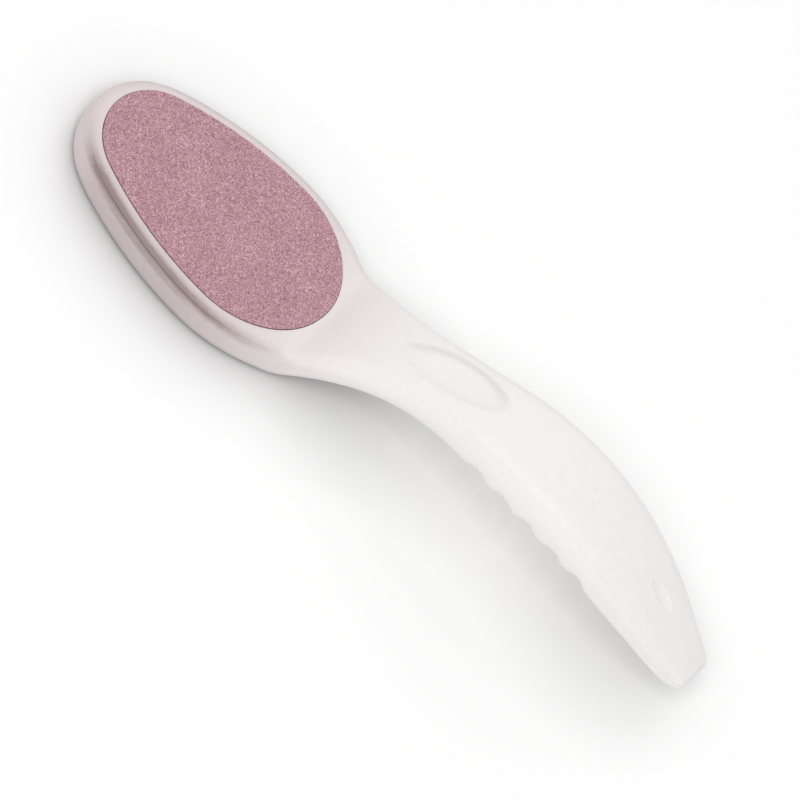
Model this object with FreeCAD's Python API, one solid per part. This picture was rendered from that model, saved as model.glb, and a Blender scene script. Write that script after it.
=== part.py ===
import FreeCAD, Part
import math
import os

# A foot file: a plastic paddle with an egg-shaped head, a handle that arches up and comes down again,
# and an abrasive pad set into each face of the head. A cover and a tray make the paddle hollow.
# X runs from the nose of the head to the tail of the handle, Z points out of the front face.
# The origin is at the middle of the length, on the plane that the rear pad rests on.
# All lengths are in millimetres. A place along X is measured from the nose.

# Whole object
OVERALL_LENGTH = 240.0

# Outline seen from above
NOSE_RADIUS = 23.6
WIDE_FROM_NOSE = 61.0
WIDE_HALF_WIDTH = 31.2
WAIST_FROM_NOSE = 130.5
WAIST_HALF_WIDTH = 13.3
GRIP_FROM_NOSE = 178.0
GRIP_HALF_WIDTH = 17.0
TAIL_HALF_WIDTH = 6.8
TAIL_CORNER_RADIUS = 2.2
NECK_TURN_SHARE = 0.36
WAIST_TURN_SHARE = 0.3

# Side view: the middle of the section stays level along the head, then follows the arch
HEAD_THICKNESS = 12.5
GRIP_THICKNESS = 17.2
TAIL_THICKNESS = 9.5
ARCH_FROM_NOSE = 168.0
ARCH_RISE = 27.9
ARCH_NECK_RADIUS = 118.0
ARCH_TAIL_RADIUS = 126.0
NECK_BEND_RADIUS = 9.0
THICKEN_TURN_SHARE = 0.45
THIN_TURN_SHARE = 0.75

# Rounding of the section and of the two ends
FRONT_EDGE_RADIUS = 3.8
REAR_EDGE_RADIUS = 3.5
HANDLE_FRONT_RADIUS = 7.9
HANDLE_REAR_RADIUS = 6.4
CROWN_DEGREES = 10.0
TAIL_FRONT_RADIUS = 1.2
TAIL_REAR_RADIUS = 2.0
TAIL_RISE_SHARE = 0.75
TAIL_RISE_REACH = 13.0
CORNER_LIMIT_SHARE = 0.92
SIDE_LIMIT_SHARE = 0.85
LEAST_EDGE_SHARE = 0.1
BEZIER_CIRCLE_SHARE = 0.5523

# Finger hollows under the handle
HOLLOW_COUNT = 5
HOLLOW_PITCH = 10.5
HOLLOW_DEPTH = 2.1
HOLLOWS_FROM_NOSE = 174.5

# Groove along each flank of the head, under the edge of the cover
GROOVE_START = 1.0
GROOVE_DEEPEST = 36.0
GROOVE_END = 94.0
GROOVE_DEPTH = 1.5
GROOVE_TURN_SHARE = 0.4
GROOVE_TOP_SHARE = 0.42

# Pads: an adhesive film, a backing sheet and a coat of grit in a recess of each face
RIM_WIDTH = 4.6
PAD_END_FROM_NOSE = 90.9
PAD_CLEARANCE = 0.25
PAD_PROUD = 0.4
FILM_THICKNESS = 0.2
FILM_INSET = 0.6
SHEET_THICKNESS = 0.5
COAT_THICKNESS = 0.5

# Shells: the cover lies on the rim of the tray and a plate under it drops inside
WALL = 2.8
LID_EDGE_DEPTH = 1.4
HANDLE_LID_DEPTH = 3.0
LID_INSET = 0.25
PLUG_DEPTH = 1.8
PLUG_CLEARANCE = 0.25
PLATE_LAP_SHARE = 0.25

# Pegs under the cover and their sockets in the tray
PEG_RADIUS = 2.0
PEG_CLEARANCE = 0.2
PEG_TIP_GAP = 0.5
BOSS_WALL = 1.4
BOSS_ROOT = 1.5
BOSS_HEIGHT = 2.5
NOSE_PEG_FROM_NOSE = 20.0
PAIR_PEG_FROM_NOSE = 72.0
PAIR_PEG_HALF_SPAN = 14.0
WAIST_PEG_FROM_NOSE = 150.0
TAIL_PEG_FROM_NOSE = 192.0

# Thumb dish and small oval dimple in the top of the handle
THUMB_FROM_NOSE = 130.5
THUMB_LENGTH = 33.0
THUMB_WIDTH = 14.6
THUMB_DEPTH = 0.5
THUMB_EDGE_RADIUS = 4.0
OVAL_FROM_TAIL = 23.4
OVAL_LENGTH = 12.5
OVAL_WIDTH = 5.2
OVAL_DEPTH = 0.8

# Spacing of the sections that the body's skin follows: close together round both ends, the neck and the
# hollows, and wider, by a share of the distance, away from them
END_REACH = 0.03
NECK_STEP = 1.6
HOLLOW_STEP_SHARE = 0.1
LARGEST_STEP = 6.0
STEP_GROWTH_SHARE = 0.4
SLOPE_STEP_SHARE = 1e-4
MARCH_COUNT = 20000
PATCH_SPANS = 12

# How far a cutting body runs past what it cuts
OVERRUN = 5.0


def ease(share, turn_share):
    """Rise from 0 to 1 along two parabolas that meet with one slope at turn_share."""
    share = min(max(share, 0.0), 1.0)
    if share < turn_share:
        return share**2 / turn_share
    return 1.0 - (1.0 - share) ** 2 / (1.0 - turn_share)


def blend(x, start, end, first, last, turn_share):
    """Value at x of an eased change from first, at start, to last, at end."""
    return first + (last - first) * ease((x - start) / (end - start), turn_share)


def quarter_drop(reach, radius):
    """Depth of a quarter-round edge at a distance reach in from the end of the body."""
    if reach >= radius:
        return 0.0
    return radius - math.sqrt(radius**2 - (radius - max(reach, 0.0)) ** 2)


def tail_rise(left):
    """How far the underside rises at a distance left from the tail."""
    share = max(1.0 - left / TAIL_RISE_REACH, 0.0)
    return TAIL_RISE_SHARE * TAIL_THICKNESS * share**2


# The flank is one arc from the nose circle to the widest place, level there
FLANK_RADIUS = (
    (WIDE_FROM_NOSE - NOSE_RADIUS) ** 2 + WIDE_HALF_WIDTH**2 - NOSE_RADIUS**2
) / (2.0 * (WIDE_HALF_WIDTH - NOSE_RADIUS))
FLANK_LEAN_SHARE = (WIDE_FROM_NOSE - NOSE_RADIUS) / (FLANK_RADIUS - NOSE_RADIUS)

# The neck bend touches the level line of the head and the arch
BEND_TO_ARCH = ARCH_NECK_RADIUS + NECK_BEND_RADIUS
BEND_START = ARCH_FROM_NOSE - math.sqrt(BEND_TO_ARCH**2 - (BEND_TO_ARCH - ARCH_RISE) ** 2)
BEND_END = BEND_START + NECK_BEND_RADIUS * (ARCH_FROM_NOSE - BEND_START) / BEND_TO_ARCH


def handle_half_width(x):
    """Half width behind the widest place, before the corners of the tail are rounded."""
    if x < WAIST_FROM_NOSE:
        return blend(
            x, WIDE_FROM_NOSE, WAIST_FROM_NOSE, WIDE_HALF_WIDTH, WAIST_HALF_WIDTH, NECK_TURN_SHARE
        )
    if x < GRIP_FROM_NOSE:
        return blend(
            x, WAIST_FROM_NOSE, GRIP_FROM_NOSE, WAIST_HALF_WIDTH, GRIP_HALF_WIDTH, WAIST_TURN_SHARE
        )
    fall = (x - GRIP_FROM_NOSE) / (OVERALL_LENGTH - GRIP_FROM_NOSE)
    return GRIP_HALF_WIDTH + (TAIL_HALF_WIDTH - GRIP_HALF_WIDTH) * fall**2


def half_width(x, inset):
    """Half width, at x, of the outline drawn in by inset all round."""
    nose = NOSE_RADIUS - inset
    if x < NOSE_RADIUS - nose * FLANK_LEAN_SHARE:
        return math.sqrt(max(nose**2 - (NOSE_RADIUS - x) ** 2, 0.0))
    if x < WIDE_FROM_NOSE:
        rise = math.sqrt((FLANK_RADIUS - inset) ** 2 - (WIDE_FROM_NOSE - x) ** 2)
        return WIDE_HALF_WIDTH - FLANK_RADIUS + rise
    step = OVERALL_LENGTH * SLOPE_STEP_SHARE
    slope = (handle_half_width(x + step) - handle_half_width(x - step)) / (2.0 * step)
    square = handle_half_width(x) - inset * math.sqrt(1.0 + slope**2)
    return square - quarter_drop(OVERALL_LENGTH - inset - x, TAIL_CORNER_RADIUS - inset)


# Heights on the head, and the places of the dimple and the pegs
RECESS_DEPTH = FILM_THICKNESS + SHEET_THICKNESS + COAT_THICKNESS - PAD_PROUD
HEAD_REAR = PAD_PROUD
HEAD_FRONT = HEAD_REAR + HEAD_THICKNESS
HEAD_MIDDLE = (HEAD_REAR + HEAD_FRONT) / 2.0
OVAL_FROM_NOSE = OVERALL_LENGTH - OVAL_FROM_TAIL
PEGS = (
    (NOSE_PEG_FROM_NOSE, 0.0),
    (PAIR_PEG_FROM_NOSE, PAIR_PEG_HALF_SPAN),
    (PAIR_PEG_FROM_NOSE, -PAIR_PEG_HALF_SPAN),
    (WAIST_PEG_FROM_NOSE, 0.0),
    (TAIL_PEG_FROM_NOSE, 0.0),
)


def middle_height(x):
    """Height of the middle of the section."""
    if x <= BEND_START:
        return HEAD_MIDDLE
    if x <= BEND_END:
        rise = math.sqrt(NECK_BEND_RADIUS**2 - (x - BEND_START) ** 2)
        return HEAD_MIDDLE + NECK_BEND_RADIUS - rise
    radius = ARCH_NECK_RADIUS if x < ARCH_FROM_NOSE else ARCH_TAIL_RADIUS
    return HEAD_MIDDLE + ARCH_RISE - radius + math.sqrt(radius**2 - (x - ARCH_FROM_NOSE) ** 2)


def thickness(x):
    """Height of the section before its ends and hollows are rounded off."""
    if x <= BEND_START:
        return HEAD_THICKNESS
    if x < ARCH_FROM_NOSE:
        return blend(x, BEND_START, ARCH_FROM_NOSE, HEAD_THICKNESS, GRIP_THICKNESS, THICKEN_TURN_SHARE)
    return blend(x, ARCH_FROM_NOSE, OVERALL_LENGTH, GRIP_THICKNESS, TAIL_THICKNESS, THIN_TURN_SHARE)


def front_height(x):
    """Height of the front of the body along the middle, before its ends are rounded off."""
    return middle_height(x) + thickness(x) / 2.0


def rear_height(x):
    """Height of the back of the body, before its ends are rounded off and without the hollows."""
    return middle_height(x) - thickness(x) / 2.0


def hollow_height(x):
    """How far the finger hollows rise into the underside at x."""
    half_run = HOLLOW_COUNT * HOLLOW_PITCH / 2.0
    along = x - HOLLOWS_FROM_NOSE + half_run
    if along <= 0.0 or along >= 2.0 * half_run:
        return 0.0
    return HOLLOW_DEPTH * (1.0 - math.cos(2.0 * math.pi * along / HOLLOW_PITCH)) / 2.0


def edge_radius(x, head_radius, handle_radius, tail_radius):
    """Radius of an edge of the section, from the head to the tail, kept inside the section."""
    radius = blend(x, BEND_START, WAIST_FROM_NOSE, head_radius, handle_radius, NECK_TURN_SHARE)
    radius += blend(x, GRIP_FROM_NOSE, OVERALL_LENGTH, 0.0, tail_radius - handle_radius, NECK_TURN_SHARE)
    return min(radius, CORNER_LIMIT_SHARE * thickness(x) / 2.0)


def crown_turn(x):
    """Angle at which the crown of the handle meets its rounded edge."""
    return math.radians(blend(x, BEND_START, WAIST_FROM_NOSE, 0.0, CROWN_DEGREES, NECK_TURN_SHARE))


def arc_points(middle, run, rise, first_turn, last_turn):
    """Bezier points, as y and z, of an elliptic arc whose turns are measured from straight up."""
    pull = math.tan((last_turn - first_turn) / 4.0) * 4.0 / 3.0
    ends = []
    for turn, way in ((first_turn, pull), (last_turn, -pull)):
        end = (middle[0] + run * math.sin(turn), middle[1] + rise * math.cos(turn))
        ends.append((end, (end[0] + way * run * math.cos(turn), end[1] - way * rise * math.sin(turn))))
    return [ends[0][0], ends[0][1], ends[1][1], ends[1][0]]


def groove_share(x):
    """How much of the flank groove is there at x: none at both of its ends, all where it is deepest."""
    rising = ease((x - GROOVE_START) / (GROOVE_DEEPEST - GROOVE_START), GROOVE_TURN_SHARE)
    return rising - ease((x - GROOVE_DEEPEST) / (GROOVE_END - GROOVE_DEEPEST), 1.0 - GROOVE_TURN_SHARE)


def grooved(arc, share):
    """Bezier points of the arc turned, by share, into a channel under its chord."""
    first, last = arc[0], arc[3]
    chord = (last[0] - first[0], last[1] - first[1])
    sink = share * GROOVE_DEPTH * 4.0 / 3.0 / math.hypot(*chord)
    points = [first]
    for place, way in ((arc[1], 1.0 / 3.0), (arc[2], 2.0 / 3.0)):
        flat = [first[axis] + way * chord[axis] for axis in (0, 1)]
        kept = [place[axis] * (1.0 - share) + flat[axis] * share for axis in (0, 1)]
        points.append((kept[0] + sink * chord[1], kept[1] - sink * chord[0]))
    return points + [last]


def section(x, inset, is_tray):
    """Bezier points of the strips round the section at x, with its sides drawn in by inset."""
    wide = half_width(x, inset)
    front_radius = edge_radius(x, FRONT_EDGE_RADIUS, HANDLE_FRONT_RADIUS, HANDLE_FRONT_RADIUS)
    rear_radius = edge_radius(x, REAR_EDGE_RADIUS, HANDLE_REAR_RADIUS, TAIL_REAR_RADIUS)
    reach = x - inset
    left = OVERALL_LENGTH - inset - x
    front_drop = max(quarter_drop(reach, front_radius), quarter_drop(left, TAIL_FRONT_RADIUS))
    rear_drop = quarter_drop(reach, rear_radius) + tail_rise(left)
    front = front_height(x) - front_drop
    rear = rear_height(x) + rear_drop
    front_run = min(wide - half_width(x, inset + front_radius), CORNER_LIMIT_SHARE * wide)
    front_fall = SIDE_LIMIT_SHARE * (front - rear) / 2.0
    front_fall = min(max(front_radius - front_drop, LEAST_EDGE_SHARE * front_fall), front_fall)
    turn = crown_turn(x)
    shoulder = wide - front_run + front_run * math.sin(turn)
    bulge = shoulder * math.tan(turn) * front_fall / front_run / 2.0
    upper = front - bulge - front_fall * math.cos(turn)
    rear += hollow_height(x) if is_tray else 0.0
    rear_run = min(wide - half_width(x, inset + rear_radius), CORNER_LIMIT_SHARE * wide)
    rear_fall = SIDE_LIMIT_SHARE * (upper - rear)
    rear_fall = min(max(rear_radius - rear_drop, LEAST_EDGE_SHARE * rear_fall), rear_fall)
    middle = (wide - front_run, upper)
    seam_turn = turn + (math.pi / 2.0 - turn) * GROOVE_TOP_SHARE
    edge = arc_points(middle, front_run, front_fall, turn, seam_turn)
    groove = arc_points(middle, front_run, front_fall, seam_turn, math.pi / 2.0)
    if is_tray:
        groove = grooved(groove, groove_share(x))
    corner = arc_points((wide - rear_run, rear + rear_fall), rear_run, rear_fall, math.pi / 2.0, math.pi)
    side = [edge, groove, [groove[3], corner[0]], corner]
    other = [[(-y, z) for y, z in strip[::-1]] for strip in side[::-1]]
    top = [other[3][3], (0.0, front + bulge), edge[0]]
    strips = [top] + side + [[corner[3], other[0][0]]] + other
    return [[FreeCAD.Vector(x, y, z) for y, z in strip] for strip in strips]


def station_step(x, start, end, has_hollows):
    """Spacing of the sections near x, for a body that runs from start to end."""
    steps = [
        LARGEST_STEP,
        END_REACH + STEP_GROWTH_SHARE * (x - start),
        END_REACH + STEP_GROWTH_SHARE * (end - x),
        NECK_STEP + STEP_GROWTH_SHARE * max(BEND_START - x, x - BEND_END, 0.0),
    ]
    if has_hollows:
        from_hollows = max(abs(x - HOLLOWS_FROM_NOSE) - HOLLOW_COUNT * HOLLOW_PITCH / 2.0, 0.0)
        steps.append(HOLLOW_STEP_SHARE * HOLLOW_PITCH + STEP_GROWTH_SHARE * from_hollows)
    return min(steps)


def stations(inset, has_hollows):
    """Places of the sections along a body whose outline is drawn in by inset."""
    start = inset + END_REACH
    end = OVERALL_LENGTH - inset - END_REACH
    march = (end - start) / MARCH_COUNT
    places = [start + march * index for index in range(MARCH_COUNT + 1)]
    counts = [0.0]
    for place in places[:-1]:
        counts.append(counts[-1] + march / station_step(place + march / 2.0, start, end, has_hollows))
    steps = math.ceil(counts[-1])
    chosen = []
    index = 0
    for step in range(steps):
        while counts[index] < counts[-1] * step / steps:
            index += 1
        chosen.append(places[index])
    return chosen + [end]


def strip_faces(rows):
    """Faces over rows of points: a clamped cubic spline along the rows, a Bezier curve across them."""
    across = len(rows[0])
    spans = len(rows) - 3
    count = math.ceil(spans / PATCH_SPANS)
    faces = []
    for patch in range(count):
        surface = Part.BSplineSurface()
        surface.buildFromPolesMultsKnots(
            rows,
            [4] + [1] * (spans - 1) + [4],
            [across, across],
            list(range(spans + 1)),
            [0, 1],
            False,
            False,
            3,
            across - 1,
        )
        surface.segment(spans * patch // count, spans * (patch + 1) // count, 0, 1)
        faces.append(surface.toShape())
    return faces


def end_face(strips):
    """Flat face inside the strips of one section."""
    edges = []
    for points in strips:
        bezier = Part.BezierCurve()
        bezier.setPoles(points)
        edges.append(bezier.toShape())
    return Part.Face(Part.Wire(edges))


def skin(sections):
    """Solid whose faces run along the strips of the sections."""
    faces = [end_face(sections[0]), end_face(sections[-1])]
    for rows in zip(*sections):
        faces += strip_faces(list(rows))
    shell = Part.Shell(faces)
    shell.sewShape()
    solid = Part.makeSolid(shell)
    if solid.Volume < 0.0:
        solid.reverse()
    return solid


def body(inset, is_tray):
    """Outer form of the paddle with its sides drawn in by inset, with hollows and grooves on the tray."""
    return skin([section(x, inset, is_tray) for x in stations(inset, is_tray)])


def slab(places, half, low, high):
    """Solid of upright box sections whose half width and heights are functions of the place."""
    sections = []
    for x in places:
        flat = ((-half(x), high(x)), (half(x), high(x)), (half(x), low(x)), (-half(x), low(x)))
        corners = [FreeCAD.Vector(x, y, z) for y, z in flat]
        sections.append([[corners[side - 1], corners[side]] for side in range(len(corners))])
    return skin(sections)


def parting_height(x):
    """Height of the joint between the cover and the tray."""
    return front_height(x) - blend(
        x, BEND_START, WAIST_FROM_NOSE, LID_EDGE_DEPTH, HANDLE_LID_DEPTH, NECK_TURN_SHARE
    )


def floor_height(x):
    """Height of the floor inside the tray."""
    return rear_height(x) + WALL + max(HOLLOW_DEPTH, RECESS_DEPTH)


def plate_height(x):
    """Height of the underside of the cover's plate, clear of the floor of the tray."""
    return max(parting_height(x) - PLUG_DEPTH, floor_height(x) + PLUG_CLEARANCE)


def inner_slab(inset, low, high):
    """Solid between two heights inside the outline drawn in by inset."""
    return slab(stations(inset, False), lambda x: half_width(x, inset), low, high)


def above_parting():
    """Everything above the joint between the cover and the tray."""
    places = stations(0.0, False)
    places = [places[0] - OVERRUN] + places + [places[-1] + OVERRUN]
    return slab(
        places, lambda x: WIDE_HALF_WIDTH + OVERRUN, parting_height, lambda x: front_height(x) + OVERRUN
    )


def rod(x, y, radius, low, high):
    """Upright cylinder between two heights."""
    return Part.makeCylinder(radius, high - low, FreeCAD.Vector(x, y, low))


def dimple(x, length, width, depth):
    """Spheroid that leaves an oval hollow in the top of the handle, this deep under a chord along it."""
    reach = length / 2.0
    ends = (front_height(x - reach), front_height(x + reach))
    slope = (ends[1] - ends[0]) / length
    sag = front_height(x) - (ends[0] + ends[1]) / 2.0
    top = section(x, 0.0, False)[0]
    crown = (top[1].z - top[2].z) / 2.0 * (width / 2.0 / top[2].y) ** 2
    across = width**2 / 8.0 / (depth + max(sag - crown, 0.0))
    along = reach * math.sqrt(across / (2.0 * depth))
    ball = Part.makeSphere(across)
    stretch = FreeCAD.Matrix()
    stretch.scale(along / across, 1.0, 1.0)
    ball = ball.transformGeometry(stretch)
    ball.rotate(FreeCAD.Vector(), FreeCAD.Vector(0.0, 1.0, 0.0), -math.degrees(math.atan(slope)))
    lift = (across - depth - sag) / math.hypot(1.0, slope)
    ball.translate(FreeCAD.Vector(x - slope * lift, 0.0, front_height(x) + lift))
    return ball


def rim_edges(solid, ball):
    """Edges of the hollow that a ball has cut, which lie on the ball and are not its own flat seam."""
    rim = []
    for edge in solid.Edges:
        if edge.BoundBox.YLength > END_REACH and ball.BoundBox.isInside(edge.BoundBox.Center):
            middle = edge.valueAt((edge.FirstParameter + edge.LastParameter) / 2.0)
            if ball.Shells[0].distToShape(Part.Vertex(middle))[0] < END_REACH:
                rim.append(edge)
    return rim


def pad_face(inset, height):
    """Flat face of the pad outline drawn in by inset, at a height."""
    margin = RIM_WIDTH + inset
    nose = NOSE_RADIUS - margin
    flank = FLANK_RADIUS - margin
    half = WIDE_HALF_WIDTH - margin
    reach = PAD_END_FROM_NOSE - inset - WIDE_FROM_NOSE
    drop = WIDE_HALF_WIDTH - FLANK_RADIUS
    lean = math.asin(FLANK_LEAN_SHARE)
    join_x = NOSE_RADIUS - nose * math.sin(lean)
    join_y = nose * math.cos(lean)
    edges = [
        Part.Arc(
            FreeCAD.Vector(join_x, -join_y, height),
            FreeCAD.Vector(NOSE_RADIUS - nose, 0.0, height),
            FreeCAD.Vector(join_x, join_y, height),
        ).toShape()
    ]
    for side in (1.0, -1.0):
        edges.append(
            Part.Arc(
                FreeCAD.Vector(join_x, side * join_y, height),
                FreeCAD.Vector(
                    WIDE_FROM_NOSE - flank * math.sin(lean / 2.0),
                    side * (drop + flank * math.cos(lean / 2.0)),
                    height,
                ),
                FreeCAD.Vector(WIDE_FROM_NOSE, side * half, height),
            ).toShape()
        )
        end = Part.BezierCurve()
        end.setPoles(
            [
                FreeCAD.Vector(WIDE_FROM_NOSE, side * half, height),
                FreeCAD.Vector(WIDE_FROM_NOSE + BEZIER_CIRCLE_SHARE * reach, side * half, height),
                FreeCAD.Vector(WIDE_FROM_NOSE + reach, side * BEZIER_CIRCLE_SHARE * half, height),
                FreeCAD.Vector(WIDE_FROM_NOSE + reach, 0.0, height),
            ]
        )
        edges.append(end.toShape())
    return Part.Face(Part.Wire(Part.__sortEdges__(edges)))


def layer(inset, start, rise):
    """Flat layer of the pad outline drawn in by inset, from start by a signed rise."""
    return pad_face(inset, start).extrude(FreeCAD.Vector(0.0, 0.0, rise))


def pad(prefix, face, way):
    """Layers of one pad, laid outward from the bottom of the recess in a face of the head."""
    start = face - way * RECESS_DEPTH
    pieces = {}
    for name, thick, inset in (
        ("adhesive_film", FILM_THICKNESS, PAD_CLEARANCE + FILM_INSET),
        ("backing_sheet", SHEET_THICKNESS, PAD_CLEARANCE),
        ("grit_coat", COAT_THICKNESS, PAD_CLEARANCE),
    ):
        pieces[prefix + name] = layer(inset, start, way * thick)
        start += way * thick
    return pieces


def front_shell():
    """Cover: the front of the paddle, with a plate that drops into the tray and pegs below it."""
    lap = LID_EDGE_DEPTH * PLATE_LAP_SHARE
    plate = inner_slab(WALL + PLUG_CLEARANCE, plate_height, lambda x: parting_height(x) + lap)
    cover = body(LID_INSET, False).common(above_parting()).fuse(plate)
    for x, y in PEGS:
        cover = cover.fuse(rod(x, y, PEG_RADIUS, floor_height(x) + PEG_TIP_GAP, parting_height(x)))
    cover = cover.cut(layer(0.0, HEAD_FRONT - RECESS_DEPTH, OVERRUN))
    cover = cover.cut(dimple(OVAL_FROM_NOSE, OVAL_LENGTH, OVAL_WIDTH, OVAL_DEPTH))
    thumb = dimple(THUMB_FROM_NOSE, THUMB_LENGTH, THUMB_WIDTH, THUMB_DEPTH)
    (solid,) = cover.cut(thumb).Solids
    return solid.makeFillet(THUMB_EDGE_RADIUS, rim_edges(solid, thumb))


def rear_shell():
    """Tray: flanks and back of the paddle, hollow, with a socket for each peg."""
    cavity = inner_slab(WALL, floor_height, lambda x: front_height(x) + OVERRUN)
    tray = body(0.0, True).cut(above_parting()).cut(cavity)
    for x, y in PEGS:
        floor = floor_height(x)
        hole = PEG_RADIUS + PEG_CLEARANCE
        tray = tray.fuse(rod(x, y, hole + BOSS_WALL, floor - BOSS_ROOT, floor + BOSS_HEIGHT))
        tray = tray.cut(rod(x, y, hole, floor, floor + BOSS_HEIGHT + OVERRUN))
    return tray.cut(layer(0.0, HEAD_REAR + RECESS_DEPTH, -OVERRUN))


pieces = {"front_shell": front_shell(), "rear_shell": rear_shell()}
pieces.update(pad("front_", HEAD_FRONT, 1.0))
pieces.update(pad("rear_", HEAD_REAR, -1.0))
os.makedirs("parts", exist_ok=True)
for name, shape in pieces.items():
    (solid,) = shape.Solids
    solid.translate(FreeCAD.Vector(-OVERALL_LENGTH / 2.0, 0.0, 0.0))
    solid.exportStep("parts/" + name + ".step")
    print(name, solid.isValid(), round(solid.Volume), "cubic mm")
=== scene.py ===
"""Foot file: moulded shells, two abrasive pads with real grain, and a plain studio."""

from __future__ import annotations

import logging
import math
from dataclasses import dataclass, field
from enum import Enum

import bpy
from mathutils import Matrix, Vector


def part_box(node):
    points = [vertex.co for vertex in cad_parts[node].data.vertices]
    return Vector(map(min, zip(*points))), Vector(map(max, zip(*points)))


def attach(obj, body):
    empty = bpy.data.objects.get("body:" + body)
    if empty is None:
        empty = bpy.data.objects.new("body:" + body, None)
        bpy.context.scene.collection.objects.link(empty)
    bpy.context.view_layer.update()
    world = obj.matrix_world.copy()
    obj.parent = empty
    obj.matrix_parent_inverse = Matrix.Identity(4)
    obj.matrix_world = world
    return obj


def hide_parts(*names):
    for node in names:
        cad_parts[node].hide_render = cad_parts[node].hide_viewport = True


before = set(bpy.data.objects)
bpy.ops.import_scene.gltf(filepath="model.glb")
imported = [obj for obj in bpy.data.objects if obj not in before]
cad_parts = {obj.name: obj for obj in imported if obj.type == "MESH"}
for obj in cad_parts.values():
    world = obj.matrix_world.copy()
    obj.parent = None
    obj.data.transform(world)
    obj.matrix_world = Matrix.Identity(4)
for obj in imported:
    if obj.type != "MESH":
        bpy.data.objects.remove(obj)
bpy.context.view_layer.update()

LOG = logging.getLogger("foot_file")
MM = 0.001
Colour = tuple[float, float, float]
Range = tuple[float, float]
Triple = tuple[float, float, float]
WHITE: Colour = (1.0, 1.0, 1.0)
BLACK: Colour = (0.0, 0.0, 0.0)


def srgb(red: float, green: float, blue: float) -> Colour:
    """Turn display values from 0 to 255 into a linear colour, by the sRGB curve.

    Args:
        red: Display red.
        green: Display green.
        blue: Display blue.

    Returns:
        The linear colour that a shader socket takes.
    """
    linear = []
    for level in (red, green, blue):
        share = level / 255.0
        linear.append(share / 12.92 if share <= 0.04045 else ((share + 0.055) / 1.055) ** 2.4)
    return (linear[0], linear[1], linear[2])


class Value:
    """A number that varies over a surface, with Python arithmetic that adds Math nodes."""

    def __init__(self, graph: NodeGraph, socket: bpy.types.NodeSocket) -> None:
        """Keep the graph and the output socket."""
        self.graph = graph
        self.socket = socket

    def _math(self, operation: str, first: Value | float, second: Value | float) -> Value:
        """Add a Math node.

        Args:
            operation: The Math node's operation.
            first: Its first operand.
            second: Its second operand.

        Returns:
            The result.
        """
        return self.graph.node("ShaderNodeMath", {"operation": operation}, {0: first, 1: second})

    def __add__(self, other: Value | float) -> Value:
        """Add."""
        return self._math("ADD", self, other)

    def __radd__(self, other: float) -> Value:
        """Add to a number."""
        return self._math("ADD", other, self)

    def __sub__(self, other: Value | float) -> Value:
        """Subtract."""
        return self._math("SUBTRACT", self, other)

    def __rsub__(self, other: float) -> Value:
        """Subtract from a number."""
        return self._math("SUBTRACT", other, self)

    def __mul__(self, other: Value | float) -> Value:
        """Multiply."""
        return self._math("MULTIPLY", self, other)

    def __rmul__(self, other: float) -> Value:
        """Multiply a number."""
        return self._math("MULTIPLY", other, self)

    def __pow__(self, other: Value | float) -> Value:
        """Raise to a power."""
        return self._math("POWER", self, other)

    def __rpow__(self, other: float) -> Value:
        """Raise a number to this power."""
        return self._math("POWER", other, self)

    def step(self, low: float, high: float, start: float = 0.0, end: float = 1.0) -> Value:
        """Ramp smoothly from one level to another.

        Args:
            low: The value up to which the ramp stays at its start.
            high: The value from which it stays at its end.
            start: Its level at low.
            end: Its level at high.

        Returns:
            The ramp.
        """
        settings = {"interpolation_type": "SMOOTHSTEP"}
        inputs = {0: self, 1: low, 2: high, 3: start, 4: end}
        return self.graph.node("ShaderNodeMapRange", settings, inputs)


class NodeGraph:
    """A node tree, with the one method that adds nodes to it."""

    def __init__(self, tree: bpy.types.NodeTree) -> None:
        """Keep the tree."""
        self.tree = tree

    def put(self, socket: bpy.types.NodeSocket, value: object) -> None:
        """Link or set one input.

        Args:
            socket: The input.
            value: A Value to link, or a number, colour or vector to set.
        """
        if isinstance(value, Value):
            self.tree.links.new(value.socket, socket)
        elif isinstance(value, tuple) and socket.type == "RGBA":
            socket.default_value = (*value, 1.0)
        else:
            socket.default_value = value

    def node(self, kind: str, settings: dict, inputs: dict, output: str | int = 0) -> Value:
        """Add a node.

        Args:
            kind: The node's type.
            settings: Properties, set first; "stops" gives a ramp's places and colours.
            inputs: Values or links of its sockets, by name or index.
            output: The output to return.

        Returns:
            That output.
        """
        made = self.tree.nodes.new(kind)
        for key, value in settings.items():
            if key == "stops":
                ramp = made.color_ramp
                while len(ramp.elements) < len(value):
                    ramp.elements.new(1.0)
                for element, (place, colour) in zip(ramp.elements, value):
                    element.position = place
                    element.color = (*colour, 1.0)
            else:
                setattr(made, key, value)
        for key, value in inputs.items():
            self.put(made.inputs[key], value)
        return Value(self, made.outputs[output])

    def shown(self) -> Value:
        """Tell the rays that show a background from the light on its way to a surface.

        Returns:
            1 for a camera, glossy or transmission ray, and 0 for any other.
        """
        total = self.node("ShaderNodeLightPath", {}, {}, "Is Camera Ray")
        for name in ("Is Glossy Ray", "Is Transmission Ray"):
            total = total + self.node("ShaderNodeLightPath", {}, {}, name)
        return total


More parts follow.
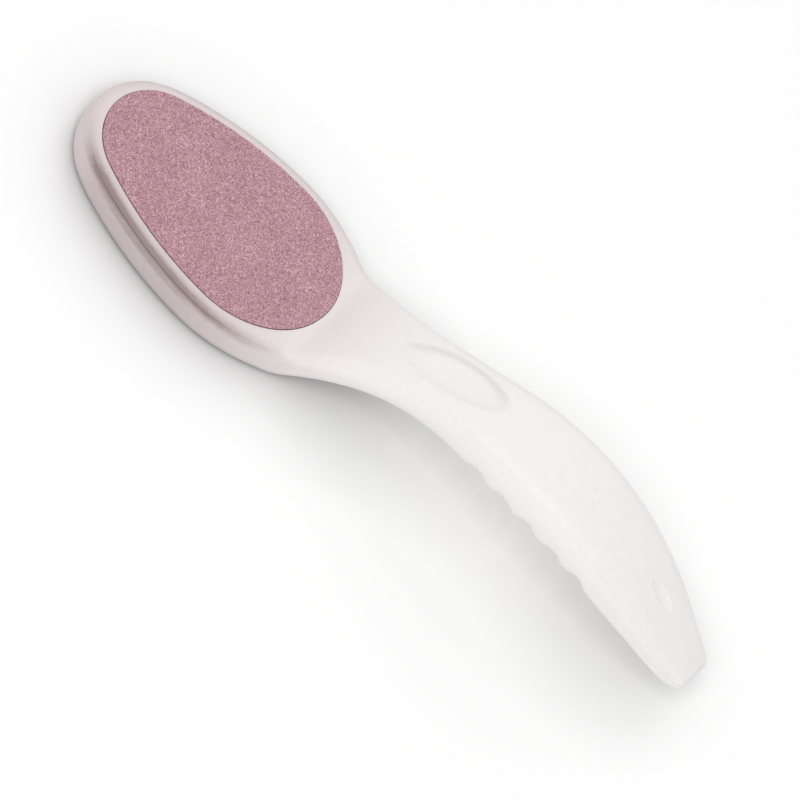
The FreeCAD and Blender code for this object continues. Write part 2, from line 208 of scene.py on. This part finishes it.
class MaterialGraph(NodeGraph):
    """The node tree of one material, on Object coordinates."""

    noise_roughness: float = 0.6

    def __init__(self, name: str) -> None:
        """Start an empty material with its output and Principled shader."""
        self.material = bpy.data.materials.new(name)
        self.material.use_nodes = True
        super().__init__(self.material.node_tree)
        self.tree.nodes.clear()
        output = self.tree.nodes.new("ShaderNodeOutputMaterial")
        self.shader = self.tree.nodes.new("ShaderNodeBsdfPrincipled")
        self.tree.links.new(self.shader.outputs[0], output.inputs["Surface"])
        self.place = self.node("ShaderNodeTexCoord", {}, {}, "Object")

    def part(self, axis: str) -> Value:
        """Return one Object coordinate, in metres."""
        return self.node("ShaderNodeSeparateXYZ", {}, {0: self.place}, axis)

    def noise(self, scale: float, detail: float, stretch: Triple = (1.0, 1.0, 1.0)) -> Value:
        """Add noise.

        Args:
            scale: How many features fit in a metre.
            detail: Octaves.
            stretch: Scale of each axis.

        Returns:
            The noise, around 0.5.
        """
        vector = self.node("ShaderNodeMapping", {}, {"Vector": self.place, "Scale": stretch})
        inputs = {"Vector": vector, "Scale": scale, "Detail": detail, "Roughness": self.noise_roughness}
        return self.node("ShaderNodeTexNoise", {}, inputs)

    def cells(self, scale: float, output: str) -> Value:
        """Add Voronoi cells.

        Args:
            scale: How many cells fit in a metre.
            output: Distance or Color.

        Returns:
            That output.
        """
        return self.node("ShaderNodeTexVoronoi", {}, {"Vector": self.place, "Scale": scale}, output)

    def mix(self, share: Value | float, first: Value | Colour, second: Value | Colour) -> Value:
        """Mix two colours.

        Args:
            share: 0 gives the first, 1 the second.
            first: A colour that is fixed or varies.
            second: A colour that is fixed or varies.

        Returns:
            The mixed colour.
        """
        return self.node("ShaderNodeMix", {"data_type": "RGBA"}, {0: share, 6: first, 7: second}, 2)

    def bump(self, height: Value, distance: float, strength: float) -> None:
        """Feed a height to the shader's normal.

        Args:
            height: The height, from 0 to 1.
            distance: What 1 means, in metres.
            strength: How much of it shows.
        """
        inputs = {"Height": height, "Distance": distance, "Strength": strength}
        self.put(self.shader.inputs["Normal"], self.node("ShaderNodeBump", {}, inputs))

    def finish(self, inputs: dict) -> bpy.types.Material:
        """Set or link the shader's sockets.

        Args:
            inputs: Values of the sockets, by name.

        Returns:
            The finished material.
        """
        for name, value in inputs.items():
            self.put(self.shader.inputs[name], value)
        return self.material


@dataclass(frozen=True)
class FlankPaintedShade:
    """Painted shade on the flank of the head: darker in its groove and up its rim, most on the -Y side, patchy,
    fading out at the pad, nose and neck.
    """

    into_groove: Range = (8.6 * MM, 10.9 * MM)
    out_of_groove: Range = (11.2 * MM, 12.1 * MM)
    lip_to_rim: Range = (11.3 * MM, 11.6 * MM)
    lip_and_rim_depth: Range = (0.37, 1.07)
    rim_to_pad: Range = (12.1 * MM, 13.17 * MM)
    near_to_far_side: Range = (-22 * MM, 8 * MM)
    far_side_depth: float = 0.25
    nose: Range = (-119 * MM, -99 * MM)
    nose_and_flank_depth: Range = (0.08, 0.98)
    neck: Range = (-72 * MM, -20 * MM)
    patch_depth: float = 0.6
    least_patch: float = 0.7

    def mask(self, graph: MaterialGraph, cloud: Value) -> Value:
        """Build the painted shade's mask.

        Args:
            graph: The plastic's nodes.
            cloud: Noise that makes the dust patchy.

        Returns:
            How much dust covers the plastic.
        """
        along = graph.part("X")
        height = graph.part("Z")
        slope = height.step(*self.lip_to_rim, *self.lip_and_rim_depth)
        slope = slope * height.step(*self.rim_to_pad, 1.0, 0.0)
        slope = slope * graph.part("Y").step(*self.near_to_far_side, 1.0, self.far_side_depth)
        groove = height.step(*self.into_groove) * height.step(*self.out_of_groove, 1.0, 0.0)
        ends = along.step(*self.nose, *self.nose_and_flank_depth) * along.step(*self.neck, 1.0, 0.0)
        return (slope + groove) * ends * (cloud * self.patch_depth + self.least_patch)


@dataclass(frozen=True)
class DishPaintedShade:
    """A faint line of painted shade along the edge of the thumb dish, mostly on its far side."""

    middle: float = 10.5 * MM
    half_length: float = 16.5 * MM
    half_width: float = 7.3 * MM
    inner_edge: Range = (0.4, 0.8)
    outer_edge: Range = (0.85, 1.25)
    top_of_handle: Range = (24 * MM, 27 * MM)
    near_to_far_side: Range = (-0.2, 0.7)
    near_side_depth: float = 0.2
    depth: float = 0.19

    def mask(self, graph: MaterialGraph) -> Value:
        """Build the painted shade's mask.

        Args:
            graph: The plastic's nodes.

        Returns:
            How much painted shade darkens the plastic.
        """
        along = (graph.part("X") - self.middle) * (1.0 / self.half_length)
        across = graph.part("Y") * (1.0 / self.half_width)
        outwards = along * along + across * across
        ring = outwards.step(*self.inner_edge) * outwards.step(*self.outer_edge, 1.0, 0.0)
        ring = ring * graph.part("Z").step(*self.top_of_handle)
        return ring * across.step(*self.near_to_far_side, self.near_side_depth, 1.0) * self.depth


@dataclass(frozen=True)
class MouldedPlastic:
    """Satin white plastic, a little rosy round the head, with faint mottling and handling marks, and painted
    shade: darker round the head, in the flank's groove and up its rim, and at the dish's far edge.
    """

    name: str
    handle_colour: Colour
    head_colour_and_shade: Colour
    painted_shade_colour: Colour
    mottle_colour: Colour
    flank: FlankPaintedShade
    dish: DishPaintedShade
    head_to_handle: Range = (-54 * MM, -2 * MM)
    cloud_scale: float = 520.0
    cloud_octaves: float = 5.0
    cloud_edge: Range = (0.3, 0.7)
    cloud_depth: float = 0.07
    scuff_scale: float = 420.0
    scuff_octaves: float = 4.0
    scuff_stretch: Triple = (0.3, 2.4, 1.0)
    scuff_edge: Range = (0.55, 0.75)
    scuff_depth: float = 0.05
    grain_scale: float = 2600.0
    grain_octaves: float = 2.0
    grain_bump: float = 0.6
    cloud_bump: float = 0.4
    bump_height: float = 0.04 * MM
    bump_strength: float = 0.5
    roughness: float = 0.42
    roughness_spread: float = 0.1
    gloss: float = 0.42

    def material(self) -> bpy.types.Material:
        """Build the plastic.

        Returns:
            The material.
        """
        graph = MaterialGraph(self.name)
        cloud = graph.noise(self.cloud_scale, self.cloud_octaves)
        scuff = graph.noise(self.scuff_scale, self.scuff_octaves, self.scuff_stretch).step(*self.scuff_edge)
        along = graph.part("X").step(*self.head_to_handle)
        # Painted shade: the head's colour is darker than the handle's, and the mix along X carries it.
        base = graph.mix(along, self.head_colour_and_shade, self.handle_colour)
        # Painted shade: the flank and dish masks darken the plastic towards the painted shade colour.
        painted_shade = self.flank.mask(graph, cloud) + self.dish.mask(graph)
        with_painted_shade = graph.mix(painted_shade, base, self.painted_shade_colour)
        mottle = cloud.step(*self.cloud_edge) * self.cloud_depth + scuff * self.scuff_depth
        tinted = graph.mix(mottle, with_painted_shade, self.mottle_colour)
        grain = graph.noise(self.grain_scale, self.grain_octaves)
        height = grain * self.grain_bump + cloud * self.cloud_bump
        graph.bump(height, self.bump_height, self.bump_strength)
        rough = cloud * self.roughness_spread + scuff * self.roughness_spread + self.roughness
        return graph.finish({"Base Color": tinted, "Roughness": rough, "Specular IOR Level": self.gloss})


@dataclass(frozen=True)
class Grit:
    """Mineral grains bonded in a pink size coat."""

    name: str
    dark: Colour
    middle: Colour
    light: Colour
    grain: float
    middle_tones: Range = (0.36, 0.66)
    tone_share: float = 0.86
    drift_share: float = 0.14
    drift_scale: float = 90.0
    drift_octaves: float = 2.0
    dome: float = 0.8
    bump_share: float = 0.2
    bump_strength: float = 0.6
    roughness: float = 0.62
    roughness_spread: float = 0.25
    gloss: float = 0.3

    def material(self) -> bpy.types.Material:
        """Build the grit: each grain has its own tone, and the tones drift slowly over the pad.

        Returns:
            The material.
        """
        graph = MaterialGraph(self.name)
        scale = 1.0 / self.grain
        tone = graph.node("ShaderNodeSeparateColor", {}, {0: graph.cells(scale, "Color")})
        drift = graph.noise(self.drift_scale, self.drift_octaves)
        low, high = self.middle_tones
        stops = [(0.0, self.dark), (low, self.middle), (high, self.middle), (1.0, self.light)]
        place = tone * self.tone_share + drift * self.drift_share
        colour = graph.node("ShaderNodeValToRGB", {"stops": stops}, {0: place})
        height = 1.0 - graph.cells(scale, "Distance") * self.dome
        graph.bump(height, self.bump_share * self.grain, self.bump_strength)
        rough = tone * self.roughness_spread + self.roughness
        return graph.finish({"Base Color": colour, "Roughness": rough, "Specular IOR Level": self.gloss})


@dataclass(frozen=True)
class Layer:
    """Thin fibrous sheet or film."""

    name: str
    colour: Colour
    fleck: Colour
    fibre: float
    roughness: float
    fibre_octaves: float = 5.0
    fibre_stretch: Triple = (0.3, 1.0, 1.0)
    fleck_edge: Range = (0.35, 0.7)
    bump_height: float = 0.05 * MM
    bump_strength: float = 0.4
    roughness_spread: float = 0.1

    def material(self) -> bpy.types.Material:
        """Build the sheet.

        Returns:
            The material.
        """
        graph = MaterialGraph(self.name)
        fibres = graph.noise(1.0 / self.fibre, self.fibre_octaves, self.fibre_stretch)
        graph.bump(fibres, self.bump_height, self.bump_strength)
        colour = graph.mix(fibres.step(*self.fleck_edge), self.colour, self.fleck)
        rough = fibres * self.roughness_spread + self.roughness
        return graph.finish({"Base Color": colour, "Roughness": rough})


class Face(Enum):
    """The two faces of the head: node prefix and outward direction."""

    FRONT = ("front", 1.0)
    REAR = ("rear", -1.0)

    @property
    def prefix(self) -> str:
        """First word of the face's nodes."""
        return self.value[0]

    @property
    def way(self) -> float:
        """Outward sign along Z."""
        return self.value[1]


def dress(piece: bpy.types.Object, material: bpy.types.Material) -> None:
    """Give a piece one material.

    Args:
        piece: The object.
        material: Its material.
    """
    if not piece.material_slots:
        piece.data.materials.append(material)
    for slot in piece.material_slots:
        slot.material = material


def choose(piece: bpy.types.Object) -> None:
    """Select a piece alone and make it the active object."""
    bpy.ops.object.select_all(action="DESELECT")
    piece.select_set(True)
    bpy.context.view_layer.objects.active = piece


def apply_modifiers(piece: bpy.types.Object) -> None:
    """Apply every modifier of a piece, in order."""
    choose(piece)
    for modifier in list(piece.modifiers):
        bpy.ops.object.modifier_apply(modifier=modifier.name)


@dataclass
class Shells:
    """Cover and tray, which keep their solid form."""

    finish: MouldedPlastic

    def dress(self) -> None:
        """Put the plastic on both shells."""
        material = self.finish.material()
        for node in ("front_shell", "rear_shell"):
            dress(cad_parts[node], material)
            LOG.info("dressed %s", node)


@dataclass
class AbrasivePad:
    """One pad: a grain coat with real relief over its backing sheet and film."""

    face: Face
    finish: Grit
    sheet: Layer
    film: Layer
    relief: float
    lump: float
    cell: float = 0.36 * MM
    overrun_cells: float = 2.0
    trim_stretch: float = 5.0
    weld: float = 0.001 * MM
    flatness: float = 0.01 * MM
    piece: bpy.types.Object | None = field(default=None, init=False)

    def build(self) -> None:
        """Model the grain coat: a fine grid, trimmed to the coat's outline and pressed into grains."""
        node = f"{self.face.prefix}_grit_coat"
        low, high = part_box(node)
        outer = high.z if self.face.way > 0.0 else low.z
        piece = self._slab(low, high, outer)
        self._trim(piece, node)
        self._press_grains(piece, outer)
        self.piece = piece
        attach(piece, "root")
        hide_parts(node)
        LOG.info("built %s with %d faces", piece.name, len(piece.data.polygons))

    def _slab(self, low: Vector, high: Vector, outer: float) -> bpy.types.Object:
        """Add a slab as thick as the coat and a little wider, with a fine grid on its outer face.

        Args:
            low: The coat's lowest corner.
            high: The coat's highest corner.
            outer: Height of the outer face.

        Returns:
            The slab.
        """
        span = high - low
        bpy.ops.object.select_all(action="DESELECT")
        bpy.ops.mesh.primitive_grid_add(
            x_subdivisions=round(span.x / self.cell),
            y_subdivisions=round(span.y / self.cell),
            size=1.0,
            location=((low.x + high.x) / 2.0, (low.y + high.y) / 2.0, outer),
        )
        piece = bpy.context.object
        piece.name = f"{self.face.prefix}_grains"
        bpy.ops.object.mode_set(mode="EDIT")
        margin = 1.0 + self.overrun_cells * self.cell / span.y
        bpy.ops.transform.resize(value=(span.x * margin, span.y * margin, 1.0))
        bpy.ops.mesh.region_to_loop()
        inwards = (0.0, 0.0, -self.face.way * span.z)
        bpy.ops.mesh.extrude_edges_move(TRANSFORM_OT_translate={"value": inwards})
        bpy.ops.mesh.edge_face_add()
        bpy.ops.mesh.select_all(action="SELECT")
        bpy.ops.mesh.normals_make_consistent(inside=False)
        bpy.ops.object.mode_set(mode="OBJECT")
        bpy.ops.object.transform_apply(location=True, rotation=True, scale=True)
        return piece

    def _trim(self, piece: bpy.types.Object, node: str) -> None:
        """Trim the slab to the outline of the solid coat.

        Args:
            piece: The slab.
            node: The coat's node.
        """
        cutter = bpy.data.objects.new("outline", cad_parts[node].data.copy())
        bpy.context.scene.collection.objects.link(cutter)
        choose(cutter)
        bpy.ops.object.mode_set(mode="EDIT")
        bpy.ops.mesh.select_all(action="SELECT")
        bpy.ops.mesh.remove_doubles(threshold=self.weld)
        bpy.ops.transform.resize(value=(1.0, 1.0, self.trim_stretch))
        bpy.ops.object.mode_set(mode="OBJECT")
        trim = piece.modifiers.new("trim", "BOOLEAN")
        trim.operation = "INTERSECT"
        trim.solver = "MANIFOLD"
        trim.object = cutter
        apply_modifiers(piece)
        mesh = cutter.data
        bpy.data.objects.remove(cutter)
        bpy.data.meshes.remove(mesh)

    def _press_grains(self, piece: bpy.types.Object, outer: float) -> None:
        """Press the outer face into grains that stay under the coat's own height.

        Args:
            piece: The trimmed slab.
            outer: Height of its outer face.
        """
        group = piece.vertex_groups.new(name="outer")
        corners = [v.index for v in piece.data.vertices if abs(v.co.z - outer) < self.flatness]
        group.add(corners, 1.0, "REPLACE")
        lumps = bpy.data.textures.new(f"{piece.name}_lumps", "VORONOI")
        lumps.noise_scale = self.lump
        lumps.distance_metric = "DISTANCE"
        press = piece.modifiers.new("press", "DISPLACE")
        press.texture = lumps
        press.texture_coords = "LOCAL"
        press.direction = "Z"
        press.vertex_group = group.name
        press.mid_level = 0.0
        press.strength = -self.face.way * self.relief
        apply_modifiers(piece)

    def dress(self) -> None:
        """Put the grit, sheet and film on the pad's layers."""
        if self.piece is None:
            raise RuntimeError("build the pad before dressing it")
        grit = self.finish.material()
        dress(self.piece, grit)
        dress(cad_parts[f"{self.face.prefix}_grit_coat"], grit)
        dress(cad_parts[f"{self.face.prefix}_backing_sheet"], self.sheet.material())
        dress(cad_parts[f"{self.face.prefix}_adhesive_film"], self.film.material())
        LOG.info("dressed the %s pad", self.face.prefix)


@dataclass
class Studio:
    """White floor, even room light, a key lamp near the camera, a side lamp, and the camera itself."""

    pixels_per_mm: float = 3.467
    frame_pixels: float = 800.0
    elevation: float = 52.0
    lens: float = 1500.0
    sensor: float = 36.0
    view_depth: float = 50.0
    target: Triple = (3.36 * MM, 0.0, 8.74 * MM)
    key_way: Triple = (0.0, -0.55, 0.83)
    key_power: float = 66.0
    key_size: float = 2.3
    side_way: Triple = (-0.2, 0.75, 0.65)
    side_power: float = 30.0
    side_size: float = 3.0
    lamp_distance: float = 4.0
    ambient: float = 0.51
    floor_half: float = 3.0
    floor_albedo: float = 0.97
    floor_glow: float = 0.1
    floor_roughness: float = 0.9
    shade_albedo: float = 0.2
    shade_reach: float = 33 * MM
    shade_depth: float = 0.8
    shade_samples: int = 16

    def view_axes(self) -> tuple[Vector, Vector, Vector]:
        """Work out the camera's axes: the length of the object runs to the lower right of the image.

        Returns:
            The camera's right, up and backward directions.
        """
        lift = math.radians(self.elevation)
        along = Vector((1.0, 0.0, 0.0))
        across = Vector((0.0, math.sin(lift), math.cos(lift)))
        return (along + across).normalized(), (across - along).normalized(), along.cross(across)

    def camera(self) -> None:
        """Place the camera at the photograph's angle."""
        right, up, back = self.view_axes()
        data = bpy.data.cameras.new("camera")
        data.lens = self.lens
        data.sensor_width = self.sensor
        data.clip_end = self.view_depth
        distance = self.frame_pixels / self.pixels_per_mm * MM * self.lens / self.sensor
        turn = Matrix((right, up, back)).transposed().to_4x4()
        made = bpy.data.objects.new("camera", data)
        made.matrix_world = Matrix.Translation(Vector(self.target) + back * distance) @ turn
        bpy.context.scene.collection.objects.link(made)
        bpy.context.scene.camera = made

    def lamp(self, name: str, direction: Vector, power: float, size: float) -> None:
        """Hang a soft lamp that looks at the object.

        Args:
            name: The lamp's name.
            direction: From the object to the lamp.
            power: Its power in watts.
            size: Its side.
        """
        data = bpy.data.lights.new(name, "AREA")
        data.energy = power
        data.size = size
        made = bpy.data.objects.new(name, data)
        made.location = Vector(self.target) + direction.normalized() * self.lamp_distance
        made.rotation_euler = direction.to_track_quat("Z", "Y").to_euler()
        made.visible_camera = False
        bpy.context.scene.collection.objects.link(made)

    def floor(self) -> None:
        """Lay a pale floor that shows white away from the object, with painted shadow that greys it close to
        the object.
        """
        bpy.ops.object.select_all(action="DESELECT")
        bpy.ops.mesh.primitive_plane_add(size=2.0 * self.floor_half, location=(0.0, 0.0, 0.0))
        plane = bpy.context.object
        plane.name = "floor"
        graph = MaterialGraph("floor")
        settings = {"samples": self.shade_samples}
        # Painted shadow: ambient occlusion darkens the floor's colour near the object.
        near = graph.node("ShaderNodeAmbientOcclusion", settings, {"Distance": self.shade_reach}, "AO")
        shade = (self.shade_albedo,) * 3
        pale = (self.floor_albedo,) * 3
        inputs = {
            "Base Color": graph.mix(near ** self.shade_depth, shade, pale),
            "Roughness": self.floor_roughness,
            "Specular IOR Level": 0.0,
            "Emission Color": graph.mix(graph.shown(), BLACK, WHITE),
            "Emission Strength": self.floor_glow,
        }
        dress(plane, graph.finish(inputs))

    def world(self) -> None:
        """Light everything softly from all sides and show white behind."""
        made = bpy.data.worlds.new("studio")
        made.use_nodes = True
        graph = NodeGraph(made.node_tree)
        level = graph.node("ShaderNodeMapRange", {}, {0: graph.shown(), 3: self.ambient, 4: 1.0})
        background = made.node_tree.nodes["Background"]
        graph.put(background.inputs["Color"], WHITE)
        graph.put(background.inputs["Strength"], level)
        bpy.context.scene.world = made

    def build(self) -> None:
        """Set up the view, the floor, the room light and the lamps."""
        bpy.context.scene.view_settings.view_transform = "Standard"
        self.camera()
        self.floor()
        self.world()
        self.lamp("key", Vector(self.key_way), self.key_power, self.key_size)
        self.lamp("side", Vector(self.side_way), self.side_power, self.side_size)
        LOG.info("studio ready")


def main() -> None:
    """Build and dress the foot file, then the studio."""
    logging.basicConfig(level=logging.INFO)
    plastic = MouldedPlastic(
        name="moulded_plastic",
        handle_colour=srgb(250, 247, 245),
        # The head's colour is darker than the handle's as painted shade.
        head_colour_and_shade=srgb(231, 219, 219),
        # Colour of the painted shade on the flank, groove and dish edge.
        painted_shade_colour=srgb(150, 131, 128),
        mottle_colour=srgb(205, 192, 191),
        # Painted shade on the head's flank and at the thumb dish's far edge.
        flank=FlankPaintedShade(),
        dish=DishPaintedShade(),
    )
    sheet = Layer(
        name="backing_sheet",
        colour=srgb(96, 74, 76),
        fleck=srgb(120, 98, 99),
        fibre=0.4 * MM,
        roughness=0.8,
    )
    film = Layer(
        name="adhesive_film",
        colour=srgb(222, 216, 200),
        fleck=srgb(236, 232, 222),
        fibre=1.2 * MM,
        roughness=0.35,
    )
    fine = Grit(
        name="fine_grit",
        dark=srgb(130, 81, 93),
        middle=srgb(189, 142, 152),
        light=srgb(231, 207, 210),
        grain=0.3 * MM,
    )
    coarse = Grit(
        name="coarse_grit",
        dark=srgb(120, 72, 82),
        middle=srgb(178, 128, 139),
        light=srgb(226, 198, 200),
        grain=0.8 * MM,
    )
    Shells(plastic).dress()
    pads = (
        AbrasivePad(Face.FRONT, fine, sheet, film, relief=0.16 * MM, lump=0.5 * MM),
        AbrasivePad(Face.REAR, coarse, sheet, film, relief=0.3 * MM, lump=1.0 * MM),
    )
    for pad in pads:
        pad.build()
        pad.dress()
    Studio().build()


if __name__ == "__main__":
    main()
